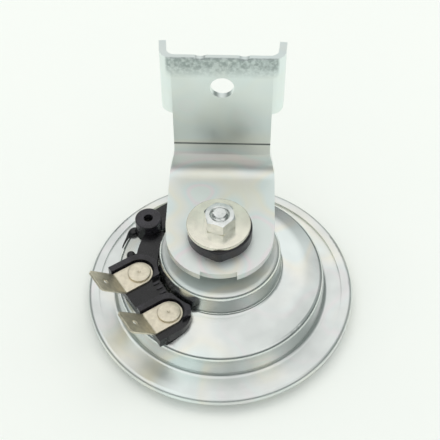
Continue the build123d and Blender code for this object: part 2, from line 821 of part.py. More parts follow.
# Leaf from the lower rivet to the contact, with a tongue that reaches over the armature
knee_place = polar(leaf_knee_reach, leaf_knee_direction)
tongue_place = polar(armature_radius - tongue_overlap + leaf_width / 2, leaf_knee_direction)
with BuildPart() as moving_contact_leaf:
    for start, end in (
        (rivet_places["lower"], knee_place),
        (knee_place, contact_place),
        (knee_place, tongue_place),
    ):
        with BuildSketch(Plane.XY.offset(leaf_top)):
            with Locations(start, end):
                Circle(leaf_width / 2)
            make_hull()
        extrude(amount=-leaf_thickness)
    with BuildSketch(Plane.XY.offset(leaf_top)):
        with Locations(rivet_places["lower"]):
            Circle(rivet_radius + slip)
    extrude(amount=-leaf_thickness, mode=Mode.SUBTRACT)
finish(moving_contact_leaf.part, "moving_contact_leaf")

# Arm from the upper rivet past the contact to the tip of the adjusting screw
with BuildPart() as fixed_contact_arm:
    with BuildSketch(Plane.XY.offset(arm_top)):
        with Locations(rivet_places["upper"], boss_place):
            Circle(leaf_width / 2)
        make_hull()
        with Locations(rivet_places["upper"]):
            Circle(rivet_radius + slip, mode=Mode.SUBTRACT)
    extrude(amount=-leaf_thickness)
finish(fixed_contact_arm.part, "fixed_contact_arm")

for name, bottom in (("moving", arm_top + contact_height), ("fixed", arm_top)):
    with BuildPart() as contact_point:
        with BuildSketch(Plane.XY.offset(bottom)):
            with Locations(contact_place):
                Circle(contact_radius)
        extrude(amount=contact_height)
    finish(contact_point.part, f"{name}_contact_point")

with BuildPart() as adjusting_screw:
    with BuildSketch(Plane.XY.offset(arm_top)):
        with Locations(boss_place):
            Circle(screw_radius)
    extrude(amount=boss_top - screw_recess - arm_top)
    with BuildSketch(Plane.XY.offset(boss_top - screw_recess)):
        with Locations(boss_place):
            Rectangle(2 * screw_radius, screw_slot, rotation=boss_direction)
    extrude(amount=-screw_slot_depth, mode=Mode.SUBTRACT)
finish(adjusting_screw.part, "adjusting_screw")

# ------------------------------------------------------------------ sealing lacquer
with BuildPart() as sealant_dab:
    with Locations(polar(dab_reach, dab_direction) + (dab_height,)):
        Sphere(dab_radius)
    add(housing_room(slip), mode=Mode.SUBTRACT)
    with BuildSketch(Plane.XY):
        with Locations(boss_place):
            Circle(boss_radius + slip)
        Circle(bar_outer_radius + slip)
    extrude(amount=boss_top, mode=Mode.SUBTRACT)
finish(sealant_dab.part, "sealant_dab")
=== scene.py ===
"""Looks of a disc car horn on its bent steel bracket, laid out as an add-on and run as a script."""

import json
import math

import bmesh
import bpy
from bpy.props import FloatProperty, FloatVectorProperty, PointerProperty
from mathutils import Matrix, Vector


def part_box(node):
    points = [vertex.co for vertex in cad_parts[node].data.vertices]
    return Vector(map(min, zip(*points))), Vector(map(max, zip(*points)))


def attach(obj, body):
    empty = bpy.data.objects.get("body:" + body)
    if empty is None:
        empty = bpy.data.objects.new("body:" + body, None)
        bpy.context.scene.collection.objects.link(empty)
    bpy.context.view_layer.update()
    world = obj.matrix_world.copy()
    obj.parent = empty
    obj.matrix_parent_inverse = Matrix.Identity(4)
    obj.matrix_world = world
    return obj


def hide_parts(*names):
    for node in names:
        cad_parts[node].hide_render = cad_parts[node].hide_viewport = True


bl_info = {
    "name": "Disc horn looks",
    "version": (1, 0, 0),
    "blender": (4, 5, 0),
    "location": "View3D > Sidebar > Horn",
    "description": "Dresses the disc horn's pieces in their finishes and sets the studio round it",
    "category": "Object",
}

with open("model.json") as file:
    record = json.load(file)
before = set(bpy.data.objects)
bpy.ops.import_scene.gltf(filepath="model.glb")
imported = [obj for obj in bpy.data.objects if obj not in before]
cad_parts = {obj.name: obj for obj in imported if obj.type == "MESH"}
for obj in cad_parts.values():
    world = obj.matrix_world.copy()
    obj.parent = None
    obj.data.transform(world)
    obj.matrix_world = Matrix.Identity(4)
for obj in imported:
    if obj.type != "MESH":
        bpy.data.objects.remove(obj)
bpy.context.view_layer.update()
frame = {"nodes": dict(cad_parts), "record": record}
NODES = frame["nodes"]
MM = 0.001
BODY = "root"
COLOR = {"subtype": "COLOR", "size": 4}
DRAWN_SHELLS = ("rear_housing", "front_rim", "tone_disc")

# Heights in millimetres at which a finish starts to change and at which it has changed
DOME_TOP = (28.4, 28.9)
FLANGE = (8.0, 6.5)
# The block's ridges take their painted highlight between these heights
BLOCK_RIDGES = (20.85, 21.05)
PLATE_FOOT = (44.0, 58.0)
PLATE_TOP = (79.5, 84.5)
PAD_END = (46.0, 52.0)
# The bracket's plate leans back by this much of its height; the depths part its front face
# from its back. Last come the distances from the fold over which its painted dark reflection fades
# out
PLATE_LEAN = 0.0875
PLATE_FRONT = (27.6, 28.2)
PAINTED_FOLD_REFLECTION = (0.1, 0.5)
# Noise seldom leaves this span, so clouds are spread out from it; blotches clip its upper part
NOISE_SPAN = (0.35, 0.65)
BLOTCH_SPAN = (0.35, 0.6)
# How much roughness drifts over a metal and over a moulded surface
METAL_DRIFT, MOULDED_DRIFT = 0.06, 0.12
# Sizes of patterns, mm: clouds of colour and of gloss on mouldings, then on the bracket its
# blotches, film, clouds of gloss and ripple
MOULDED_CLOUD, MOULDED_SHINE = 6.0, 2.0
BLOTCH, STRIP_FILM, STRIP_SHINE, STRIP_RIPPLE, STRIP_RIPPLE_DEPTH = 1.3, 16.0, 5.0, 3.0, 0.004
PAPER_TOOTH = 40.0
# Colours of the passivation film as it thickens
FILM = (
    (0.0, "#EBF3F1"), (0.25, "#F4F3E8"), (0.5, "#F2F3EE"),
    (0.7, "#ECF3F1"), (0.85, "#F5EFF0"), (1.0, "#EFF4F1"),
)

# The stub of the mould's gate beside the block's bar, mm: its place, then its foot and top
# and the middle and radius of its rounding, as (radius, height)
STUB_PLACE = (-33.2, 3.1)
STUB_FOOT, STUB_RADIUS, STUB_TOP = 16.9, 1.75, 20.25
STUB_ROUNDING_MIDDLE, STUB_ROUNDING = (0.45, 19.0), 1.2
# The terminal rivets, mm: the punch mark's points, as (radius, depth)
PUNCH_MARK = ((0, 0.42), (0.3, 0.4), (0.48, 0.04), (0.6, 0))
# The head's rounded edge and the depth of its middle; how far in the head starts to round and
# how far it has fallen there; how much it narrows to its seat
HEAD_ROUNDING, HEAD_ROUNDING_DEPTH = 0.3, 0.4
HEAD_BORDER, HEAD_FALL, HEAD_NARROWING = 1.2, 0.02, 0.1
SHANK_RADIUS, TERMINAL_STRIP = 1.6, 0.8
# The stud, mm: radii of thread and neck, length of the neck and depth of the tapered tip
THREAD_RADIUS, NECK_RADIUS, NECK_LENGTH, TIP_TAPER = 2.98, 4.9, 1.0, 0.8
# How much tumbling has worn the nut's corners, mm
NUT_EDGE = 0.18
# The lacquer's dab and the thread it drew out. Each row: direction in degrees, then distance
# from the horn's middle, height and half width in millimetres
LACQUER = (
    (151.6, 35.7, 16.4, 0.9), (152.4, 36.1, 16.5, 1.5), (153.6, 36.8, 16.3, 1.95),
    (155.0, 37.5, 15.9, 1.95), (156.3, 38.0, 15.6, 1.5), (157.3, 38.3, 15.4, 0.95),
    (158.6, 38.4, 15.3, 0.6), (160.5, 38.5, 15.2, 0.42), (163.0, 38.5, 15.2, 0.36),
    (165.0, 38.45, 15.2, 0.3), (166.4, 38.4, 15.2, 0.16),
)

# The room's bright windows as metal sees them: direction round, height, half width and
# soft edge, in degrees
WINDOWS = ((90, 60, 28, 16), (-42, 52, 14, 10), (-124, 50, 13, 10))
# The room's duller side, in the same terms
DULL_SIDE = (28, 47, 20, 18)
# Direction of each softbox from the horn: aside, back and up
BOX_WAY = (0.28, 0.3, 0.91)


# ------------------------------------------------------------------ colours and nodes
def linear(code):
    """Turn an sRGB hex colour such as "#D8DBD6" into linear RGBA."""
    channels = [int(code[i : i + 2], 16) / 255 for i in (1, 3, 5)]
    return [c / 12.92 if c <= 0.04045 else ((c + 0.055) / 1.055) ** 2.4 for c in channels] + [1.0]


def add_node(tree, kind, inputs=(), **settings):
    """Add a node with its settings; its inputs, by name or in order, are values or sockets."""
    node = tree.nodes.new(kind)
    for name, value in settings.items():
        setattr(node, name, value)
    for place, value in inputs.items() if isinstance(inputs, dict) else enumerate(inputs):
        if isinstance(value, bpy.types.NodeSocket):
            tree.links.new(value, node.inputs[place])
        else:
            node.inputs[place].default_value = value
    return node


def new_material(name, metallic=0.0, roughness=0.5):
    """A material with its Principled shader, ready for more nodes."""
    material = bpy.data.materials.new(name)
    material.use_nodes = True
    shader = material.node_tree.nodes["Principled BSDF"]
    shader.inputs["Metallic"].default_value = metallic
    shader.inputs["Roughness"].default_value = roughness
    return material, material.node_tree, shader


def object_mm(tree):
    """Object coordinates counted in millimetres: pattern scales are then one over a real size."""
    place = add_node(tree, "ShaderNodeTexCoord").outputs["Object"]
    scaled = {"Vector": place, "Scale": [1 / MM] * 3}
    return add_node(tree, "ShaderNodeMapping", scaled).outputs["Vector"]


def clouds(tree, place, size_mm, low=0.0, high=1.0, detail=3.0, span=NOISE_SPAN):
    """Clouds about size_mm across that drift from low to high."""
    pattern = {"Vector": place, "Scale": 1 / size_mm, "Detail": detail}
    cloud = add_node(tree, "ShaderNodeTexNoise", pattern).outputs["Fac"]
    return add_node(tree, "ShaderNodeMapRange", (cloud, *span, low, high)).outputs["Result"]


def along_height(tree, place, heights, low, high):
    """A value that goes from low to high as a place rises from one height to another."""
    height = add_node(tree, "ShaderNodeSeparateXYZ", (place,)).outputs["Z"]
    return add_node(tree, "ShaderNodeMapRange", (height, *heights, low, high)).outputs["Result"]


def clouded(tree, shader, place, size_mm, light, dark):
    """Give the surface a colour that drifts from light to dark in clouds about size_mm across."""
    shades = {0: clouds(tree, place, size_mm), 6: light, 7: dark}
    colour = add_node(tree, "ShaderNodeMix", shades, data_type="RGBA").outputs[2]
    tree.links.new(colour, shader.inputs["Base Color"])


def rippled(tree, shader, place, size_mm, depth_mm, detail=2.0):
    """Give the surface ripples or a grain about size_mm across and depth_mm deep."""
    pattern = {"Vector": place, "Scale": 1 / size_mm, "Detail": detail}
    ripple = add_node(tree, "ShaderNodeTexNoise", pattern).outputs["Fac"]
    relief = {"Strength": 0.5, "Distance": depth_mm * MM, "Height": ripple}
    bump = add_node(tree, "ShaderNodeBump", relief).outputs["Normal"]
    tree.links.new(bump, shader.inputs["Normal"])


# ------------------------------------------------------------------ finishes
def rainbow_film(tree, place, size_mm):
    """The faint yellow, blue and pink of a passivation film whose thickness drifts over size_mm."""
    film = add_node(tree, "ShaderNodeValToRGB", (clouds(tree, place, size_mm, detail=0.0),))
    ramp = film.color_ramp
    for position, code in FILM[1:-1]:
        ramp.elements.new(position).color = linear(code)
    ramp.elements[0].color = linear(FILM[0][1])
    ramp.elements[-1].color = linear(FILM[-1][1])
    return film.outputs["Color"]


def metal(
    name, light, dark, roughness, cloud_mm, ripple_mm=2.5, ripple_depth_mm=0.004, scuffed=0.0
):
    """A metal with a faint ripple and cloudy changes of colour and gloss.

    Without a light colour it has the passivation's film. Scuffed is how much rougher the top of
    the housing's dome is; its flange is rougher by a third of that.
    """
    material, tree, shader = new_material(name, metallic=1.0)
    place = object_mm(tree)
    if light is None:
        light = rainbow_film(tree, place, cloud_mm)
    clouded(tree, shader, place, cloud_mm, light, dark)
    gloss = clouds(tree, place, cloud_mm / 3, roughness, roughness + METAL_DRIFT)
    if scuffed:
        for heights, worn in ((DOME_TOP, scuffed), (FLANGE, scuffed / 3)):
            rubbed = along_height(tree, place, heights, 0.0, worn)
            gloss = add_node(tree, "ShaderNodeMath", (gloss, rubbed), operation="ADD").outputs[0]
    tree.links.new(gloss, shader.inputs["Roughness"])
    rippled(tree, shader, place, ripple_mm, ripple_depth_mm)
    return material


def moulded(name, light, dark, roughness, grain_mm, grain_depth_mm, ridge_highlight=None):
    """A moulded material with a fine even grain.

    handled is the lighter colour of the ridges and rib tops above the pockets: a painted highlight.
    """
    material, tree, shader = new_material(name)
    place = object_mm(tree)
    # Ridges above the pockets get a lighter colour: a painted highlight
    if ridge_highlight:
        ridges = {0: along_height(tree, place, BLOCK_RIDGES, 0.0, 1.0), 6: light, 7: ridge_highlight}
        light = add_node(tree, "ShaderNodeMix", ridges, data_type="RGBA").outputs[2]
    clouded(tree, shader, place, MOULDED_CLOUD, light, dark)
    gloss = clouds(tree, place, MOULDED_SHINE, roughness, roughness + MOULDED_DRIFT)
    tree.links.new(gloss, shader.inputs["Roughness"])
    rippled(tree, shader, place, grain_mm, grain_depth_mm)
    return material


def passivated_strip(look):
    """Bright zinc on thick rolled strip, for the bracket.

    It is a cool satin with a faint rainbow film, dull blotches along the plate's top edge and a
    thin painted dark reflection along its upper fold.
    """
    material, tree, shader = new_material("bright_zinc_on_rolled_strip", metallic=1.0)
    place = object_mm(tree)
    # How far back a point lies from the leaning plate tells its front face from the rest
    lean = (place, (0.0, 1.0, -PLATE_LEAN))
    depth = add_node(tree, "ShaderNodeVectorMath", lean, operation="DOT_PRODUCT").outputs["Value"]
    front = add_node(tree, "ShaderNodeMapRange", (depth, *PLATE_FRONT, 1.0, 0.0)).outputs["Result"]
    dull = clouds(tree, place, BLOTCH, 0.45, 1.0, detail=5.0, span=BLOTCH_SPAN)
    for share in (along_height(tree, place, PLATE_TOP, 0.0, 1.0), front):
        dull = add_node(tree, "ShaderNodeMath", (dull, share), operation="MULTIPLY").outputs[0]
    # The fold's tight bend gets a thin dark stripe in its colour on the front face: a painted dark
    # reflection of the room
    height = add_node(tree, "ShaderNodeSeparateXYZ", (place,)).outputs["Z"]
    off = add_node(tree, "ShaderNodeMath", (height, look.fold_height), operation="SUBTRACT")
    off = add_node(tree, "ShaderNodeMath", (off.outputs[0],), operation="ABSOLUTE").outputs[0]
    fold_reflection = add_node(tree, "ShaderNodeMapRange", (off, *PAINTED_FOLD_REFLECTION, 1.0, 0.0)).outputs["Result"]
    fold_reflection = add_node(tree, "ShaderNodeMath", (fold_reflection, front), operation="MULTIPLY").outputs[0]
    # The film is thickest and bluest on the upright plate; the blotches and the painted fold
    # reflection lie over it
    bluer = along_height(tree, place, PLATE_FOOT, 0.0, 0.8)
    layers = ((bluer, look.strip_blue), (dull, look.strip_dull), (fold_reflection, linear("#59605F")))
    colour = rainbow_film(tree, place, STRIP_FILM)
    for share, over in layers:
        shades = {0: share, 6: colour, 7: over}
        colour = add_node(tree, "ShaderNodeMix", shades, data_type="RGBA").outputs[2]
    tree.links.new(colour, shader.inputs["Base Color"])
    # The pad and the bend are duller than the plate
    sheen = look.strip_roughness
    gloss = clouds(tree, place, STRIP_SHINE, sheen, sheen + METAL_DRIFT)
    worn = along_height(tree, place, PAD_END, 0.12, 0.0)
    gloss = add_node(tree, "ShaderNodeMath", (gloss, worn), operation="ADD").outputs[0]
    tree.links.new(gloss, shader.inputs["Roughness"])
    rippled(tree, shader, place, STRIP_RIPPLE, STRIP_RIPPLE_DEPTH, detail=1.0)
    return material


def enamelled_wire():
    """Enamelled copper wire, wound: reddish turns side by side, drawn twice as thick as real."""
    material, tree, shader = new_material("wound_enamelled_copper", metallic=1.0, roughness=0.25)
    turn_mm, turn_height_mm, waves_to_the_unit = 0.8, 0.2, 3.2
    pattern = {"Vector": object_mm(tree), "Scale": 1 / (turn_mm * waves_to_the_unit)}
    turns = add_node(tree, "ShaderNodeTexWave", pattern, bands_direction="Z").outputs["Fac"]
    shades = {0: turns, 6: linear("#7A3A1C"), 7: linear("#B5602F")}
    colour = add_node(tree, "ShaderNodeMix", shades, data_type="RGBA").outputs[2]
    tree.links.new(colour, shader.inputs["Base Color"])
    relief = {"Strength": 0.8, "Distance": turn_height_mm * MM, "Height": turns}
    bump = add_node(tree, "ShaderNodeBump", relief).outputs["Normal"]
    tree.links.new(bump, shader.inputs["Normal"])
    return material


def make_materials():
    """Make every finish once, by the record's slot names."""
    look = bpy.context.scene.horn_finishes
    return {
        "zinc_plate": passivated_strip(look),
        # The same plating on thin drawn sheet, which the draw has polished: a clearer mirror
        "zinc_shell": metal(
            "bright_zinc_on_drawn_shell", None, look.zinc_dark, look.shell_roughness,
            cloud_mm=22.0, ripple_mm=3.5, ripple_depth_mm=0.003, scuffed=0.35,
        ),
        # The same plating on small hardware, barrel-plated and a little yellow from its passivation
        "zinc_bright": metal(
            "yellowish_zinc_on_washer", look.hardware_light, look.hardware_dark,
            roughness=0.2, cloud_mm=5.0, ripple_mm=1.2,
        ),
        # Clear zinc on the forged nut and the stud: brighter and neutral
        "zinc_nut": metal(
            "clear_zinc_on_nut", look.zinc_light, look.zinc_dark,
            roughness=0.14, cloud_mm=4.0, ripple_mm=1.0,
        ),
        # Hot-tinned brass strip: warm and dull
        "tinned_brass": metal(
            "tinned_brass_strip", look.tin_light, look.tin_dark,
            roughness=0.4, cloud_mm=1.6, ripple_mm=0.7, ripple_depth_mm=0.006,
        ),
        # Hardened spring steel, rolled: grey and even
        "spring_steel": metal(
            "rolled_spring_steel", linear("#B4B6B5"), linear("#9C9F9E"),
            roughness=0.3, cloud_mm=9.0,
        ),
        # Turned soft iron, phosphated: dark grey
        "soft_iron": metal(
            "phosphated_soft_iron", linear("#8A8B89"), linear("#6F706E"),
            roughness=0.42, cloud_mm=4.0,
        ),
        # Silver contact rivets, pressed: pale and soft
        "silver_contact": metal(
            "pressed_silver", linear("#DAD9D4"), linear("#C2C0B9"), roughness=0.28, cloud_mm=1.5
        ),
        # EPDM rubber, moulded: black with a dry sheen
        "black_rubber": moulded(
            "moulded_epdm_rubber", look.rubber, linear("#211D24"),
            roughness=0.26, grain_mm=0.9, grain_depth_mm=0.03,
        ),
        # Glass-filled nylon, injection moulded: black with a fine spark texture; its ridges get a
        # lighter painted highlight
        "black_moulding": moulded(
            "moulded_black_nylon", look.moulding, linear("#171619"),
            roughness=0.2, grain_mm=0.35, grain_depth_mm=0.01, ridge_highlight=linear("#322F36"),
        ),
        # Sealing lacquer, brushed on and dried: black and wet-looking
        "black_lacquer": moulded(
            "dried_sealing_lacquer", linear("#141416"), linear("#1C1C1E"),
            roughness=0.12, grain_mm=1.5, grain_depth_mm=0.03,
        ),
        # Phenolic paper board, punched: brown and dull
        "brown_board": moulded(
            "punched_phenolic_board", linear("#6B4428"), linear("#553420"),
            roughness=0.5, grain_mm=0.8, grain_depth_mm=0.02,
        ),
        # Gasket paper, punched: grey-brown and fibrous
        "gasket_paper": moulded(
            "punched_gasket_paper", linear("#857E70"), linear("#6F695D"),
            roughness=0.85, grain_mm=0.6, grain_depth_mm=0.03,
        ),
        "copper_winding": enamelled_wire(),
    }


# ------------------------------------------------------------------ shapes
def finish_piece(piece, material, slot, *nodes):
    """Put a piece on the body in place of the CAD nodes it stands for."""
    piece.data.materials.clear()
    piece.data.materials.append(material)
    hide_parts(*nodes)
    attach(piece, BODY)


def new_piece(name, mesh):
    """An object for a mesh, in the scene's own collection."""
    piece = bpy.data.objects.new(name, mesh)
    bpy.context.scene.collection.objects.link(piece)
    return piece


def apply_modifiers(piece):
    """Replace a piece's mesh by what its modifiers make of it."""
    bpy.context.view_layer.update()
    shaped = piece.evaluated_get(bpy.context.evaluated_depsgraph_get())
    mesh = bpy.data.meshes.new_from_object(shaped)
    piece.modifiers.clear()
    piece.data = mesh


def broken_edges(node, name, width_mm, segments=2, sharp_degrees=35.0):
    """A copy of a CAD piece whose sharp edges are rounded by width_mm, as tumbling leaves them."""
    mesh = NODES[node].data.copy()
    work = bmesh.new()
    work.from_mesh(mesh)
    # Weld the seams and join the facets of flat faces, so that only real edges are rounded
    bmesh.ops.remove_doubles(work, verts=work.verts, dist=0.002 * MM)
    flat = math.radians(0.6)
    bmesh.ops.dissolve_limit(
        work, angle_limit=flat, verts=work.verts, edges=work.edges, delimit={"NORMAL"}
    )
    work.to_mesh(mesh)
    work.free()
    piece = new_piece(name, mesh)
    bevel = piece.modifiers.new("edges", "BEVEL")
    bevel.width = width_mm * MM
    bevel.segments = segments
    bevel.limit_method = "ANGLE"
    bevel.angle_limit = math.radians(sharp_degrees)
    bevel.harden_normals = False
    mesh.shade_smooth()
    weights = piece.modifiers.new("normals", "WEIGHTED_NORMAL")
    weights.keep_sharp = False
    weights.weight = 90
    apply_modifiers(piece)
    return piece


def arc(centre, radius, start, stop, steps=5):
    """Points along an arc, in degrees."""
    points = []
    for step in range(steps + 1):
        angle = math.radians(start + (stop - start) * step / steps)
        x = centre[0] + radius * math.cos(angle)
        points.append((x, centre[1] + radius * math.sin(angle)))
    return points


def ring_points(radii, height, centre=(0.0, 0.0)):
    """Points round an upright axis, one for each radius; sizes are given in millimetres."""
    points = []
    for step, radius in enumerate(radii):
        angle = 2 * math.pi * step / len(radii)
        x = centre[0] + radius * math.cos(angle)
        y = centre[1] + radius * math.sin(angle)
        points.append((x * MM, y * MM, height * MM))
    return points


def ring_piece(name, rings, closed=False):
    """A smooth piece whose skin joins rings of points, some of which may be a single point.

    Closed, its last ring joins the first; otherwise its ends are faces.
    """
    mesh = bpy.data.meshes.new(name)
    work = bmesh.new()
    rings = [[work.verts.new(point) for point in ring] for ring in rings]
    steps = max(len(ring) for ring in rings)
    next_rings = rings[1:] + (rings[:1] if closed else [])
    for low, high in zip(rings, next_rings):
        if len(low) == 1 and len(high) == 1:
            continue
        for step in range(steps):
            following = (step + 1) % steps
            corners = [low[step % len(low)], low[following % len(low)]]
            corners += [high[following % len(high)], high[step % len(high)]]
            work.faces.new(list(dict.fromkeys(corners)))
    if not closed:
        work.faces.new(rings[0][::-1])
        work.faces.new(rings[-1])
    bmesh.ops.recalc_face_normals(work, faces=work.faces)
    work.to_mesh(mesh)
    work.free()
    mesh.shade_smooth()
    return new_piece(name, mesh)


def lathe(name, outline, centre, segments):
    """Turn a closed outline of (radius, height) points, in millimetres, about an upright axis."""
    rings = []
    for radius, height in outline:
        rings.append(ring_points([radius] * (segments if radius else 1), height, centre))
    return ring_piece(name, rings, closed=True)


def node_middle(node):
    """The middle of a CAD node in plan, in millimetres."""
    low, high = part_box(node)
    return ((low.x + high.x) / 2 / MM, (low.y + high.y) / 2 / MM)


# ------------------------------------------------------------------ settings
class HornShapes(bpy.types.PropertyGroup):
    """Sizes of the fine shapes that the looks add."""

    sheet_edge: FloatProperty(
        name="Sheet edge", description="Rounding of sheared steel edges, mm",
        default=0.18, min=0.05, max=1.0,
    )
    moulding_edge: FloatProperty(
        name="Moulding edge", description="Rounding of moulded edges, mm",
        default=0.3, min=0.05, max=1.0,
    )
    terminal_edge: FloatProperty(
        name="Terminal edge", description="Rounding of stamped terminal edges, mm",
        default=0.14, min=0.02, max=0.3,
    )
    thread_pitch: FloatProperty(
        name="Thread pitch", description="Pitch of the stud's thread, mm",
        default=1.0, min=0.5, max=2.0,
    )
    thread_depth: FloatProperty(
        name="Thread depth", description="Depth of the stud's thread, mm",
        default=0.55, min=0.1, max=1.0,
    )
    shoulder_edge: FloatVectorProperty(
        name="Shoulder edge",
        description="Radius and height of the shoulder that the lacquer lies on, mm",
        size=2, default=(38.3, 15.3),
    )


class HornFinishes(bpy.types.PropertyGroup):
    """Colours and gloss of the finishes."""

    zinc_light: FloatVectorProperty(
        name="Zinc, light", description="Zinc plate where it is brightest",
        default=linear("#F0F2F0"), **COLOR,
    )
    zinc_dark: FloatVectorProperty(
        name="Zinc, dark", description="Zinc plate where it is cloudy",
        default=linear("#D9DDDB"), **COLOR,
    )
    strip_blue: FloatVectorProperty(
        name="Strip, bluish", description="Bluish film on the bracket's upright plate",
        default=linear("#E7F1EF"), **COLOR,
    )
    strip_dull: FloatVectorProperty(
        name="Strip, dull", description="Dull blotches on the bracket's zinc",
        default=linear("#A2ADAB"), **COLOR,
    )
    fold_height: FloatProperty(
        name="Fold height", description="Height of the bracket's upper fold, mm",
        default=50.2, min=45.0, max=55.0,
    )
    strip_roughness: FloatProperty(
        name="Strip roughness", description="Roughness of the bracket's zinc",
        subtype="FACTOR", default=0.34,
    )
    shell_roughness: FloatProperty(
        name="Shell roughness", description="Roughness of the housing's zinc",
        subtype="FACTOR", default=0.2,
    )
    hardware_light: FloatVectorProperty(
        name="Hardware, light", description="Zinc on the washer where it is brightest",
        default=linear("#F4F1E2"), **COLOR,
    )
    hardware_dark: FloatVectorProperty(
        name="Hardware, dark", description="Zinc on the washer where it is cloudy",
        default=linear("#E6E2D4"), **COLOR,
    )
    tin_light: FloatVectorProperty(
        name="Tin, light", description="Tinned brass where it is brightest",
        default=linear("#EEE6D2"), **COLOR,
    )
    tin_dark: FloatVectorProperty(
        name="Tin, dark", description="Tinned brass where it is dull",
        default=linear("#DED6C2"), **COLOR,
    )
    rubber: FloatVectorProperty(
        name="Rubber", description="Moulded rubber", default=linear("#131216"), **COLOR
    )
    moulding: FloatVectorProperty(
        name="Moulding", description="Moulded nylon", default=linear("#0B0B0D"), **COLOR
    )


class HornStudio(bpy.types.PropertyGroup):
    """The camera's place and the studio's light."""

    camera_place: FloatVectorProperty(
        name="Camera place", description="Where the camera stands",
        subtype="TRANSLATION", unit="LENGTH", default=(0.00731, -0.20541, 0.29989),
    )
    camera_pitch: FloatProperty(
        name="Camera pitch", description="How far the camera looks down",
        subtype="ANGLE", default=math.radians(51.144),
    )
    camera_turn: FloatProperty(
        name="Camera turn", description="How far the camera turns to the left",
        subtype="ANGLE", default=math.radians(2.012),
    )
    camera_roll: FloatProperty(
        name="Camera roll", description="How far the camera leans",
        subtype="ANGLE", default=math.radians(-0.4355),
    )
    lens: FloatProperty(name="Lens", description="Focal length, mm", default=77.13)
    floor_color: FloatVectorProperty(
        name="Floor", description="Colour of the floor", default=linear("#FCFCF8"), **COLOR
    )
    floor_side: FloatProperty(
        name="Floor side", description="Side of the square floor", unit="LENGTH", default=6.0
    )
    room_color: FloatVectorProperty(
        name="Room", description="Colour of the light from all round",
        default=linear("#F5FBFA"), **COLOR,
    )
    room_strength: FloatProperty(
        name="Room light", description="Light from all round", default=0.9
    )
    ceiling_color: FloatVectorProperty(
        name="Ceiling", description="The room overhead as metal sees it",
        default=linear("#F6F8F6"), **COLOR,
    )
    wall_color: FloatVectorProperty(
        name="Walls", description="Foot of the room's walls as metal sees them",
        default=linear("#626A68"), **COLOR,
    )
    wall_height: FloatProperty(
        name="Wall height", description="Height at which the walls become ceiling",
        subtype="ANGLE", default=math.radians(47),
    )
    window_color: FloatVectorProperty(
        name="Windows", description="Bright windows of the room as metal sees them",
        default=linear("#FDFDFC"), **COLOR,
    )
    dull_color: FloatVectorProperty(
        name="Dull side", description="The room's duller side as metal sees it",
        default=linear("#A6ACAA"), **COLOR,
    )
    box_power: FloatProperty(
        name="Softbox power", description="Power of each overhead softbox",
        unit="POWER", default=0.7,
    )
    box_color: FloatVectorProperty(
        name="Softbox colour", description="Colour of the softboxes' light",
        default=linear("#FFF8F0"), **COLOR,
    )
    box_size: FloatProperty(
        name="Softbox size", description="Side of each overhead softbox",
        unit="LENGTH", default=0.45,
    )
    box_distance: FloatProperty(
        name="Softbox distance", description="Distance of each softbox from the horn",
        unit="LENGTH", default=0.9,
    )


# The finishes by name, made by the first operator
MATERIALS = {}


# ------------------------------------------------------------------ operators
class HORN_OT_finishes(bpy.types.Operator):
    """Make the finishes and put them on every piece that keeps its own shape"""

    bl_idname = "horn.finishes"
    bl_label = "Finishes"

    def execute(self, context):
        MATERIALS.update(make_materials())
        slots = {entry["node"]: entry["material_slot"] for entry in frame["record"]["subparts"]}
        for name, node in NODES.items():
            material = MATERIALS["zinc_shell" if name in DRAWN_SHELLS else slots[name]]
            if not node.material_slots:
                node.data.materials.append(material)
            for place in node.material_slots:
                place.material = material
        return {"FINISHED"}


class HORN_OT_bracket(bpy.types.Operator):
    """Make the mounting bracket's sheared edges round"""

    bl_idname = "horn.bracket"
    bl_label = "Mounting bracket"

    def execute(self, context):
        width = context.scene.horn_shapes.sheet_edge
        piece = broken_edges("mounting_bracket", "bracket_sheet", width, segments=3)
        finish_piece(piece, MATERIALS["zinc_plate"], "zinc_plate", "mounting_bracket")
        return {"FINISHED"}


class HORN_OT_terminal_block(bpy.types.Operator):
    """Make the terminal block with round moulded edges and a stub beside its bar"""

    bl_idname = "horn.terminal_block"
    bl_label = "Terminal block"

    def execute(self, context):
        width = context.scene.horn_shapes.moulding_edge
        piece = broken_edges("terminal_block", "block_moulding", width)
        outline = [(0.0, STUB_FOOT), (STUB_RADIUS, STUB_FOOT)]
        outline += arc(STUB_ROUNDING_MIDDLE, STUB_ROUNDING, start=0, stop=90) + [(0.0, STUB_TOP)]
        stub = lathe("gate_stub", outline, STUB_PLACE, segments=24)
        work = bmesh.new()
        work.from_mesh(piece.data)
        work.from_mesh(stub.data)
        work.to_mesh(piece.data)
        work.free()
        bpy.data.objects.remove(stub)
        finish_piece(piece, MATERIALS["black_moulding"], "black_moulding", "terminal_block")
        return {"FINISHED"}


class HORN_OT_terminals(bpy.types.Operator):
    """Make both spade terminals with stamped edges"""

    bl_idname = "horn.terminals"
    bl_label = "Terminals"

    def execute(self, context):
        width = context.scene.horn_shapes.terminal_edge
        for side in ("upper", "lower"):
            piece = broken_edges(f"terminal_{side}", f"spade_{side}", width)
            finish_piece(piece, MATERIALS["tinned_brass"], "tinned_brass", f"terminal_{side}")
        return {"FINISHED"}


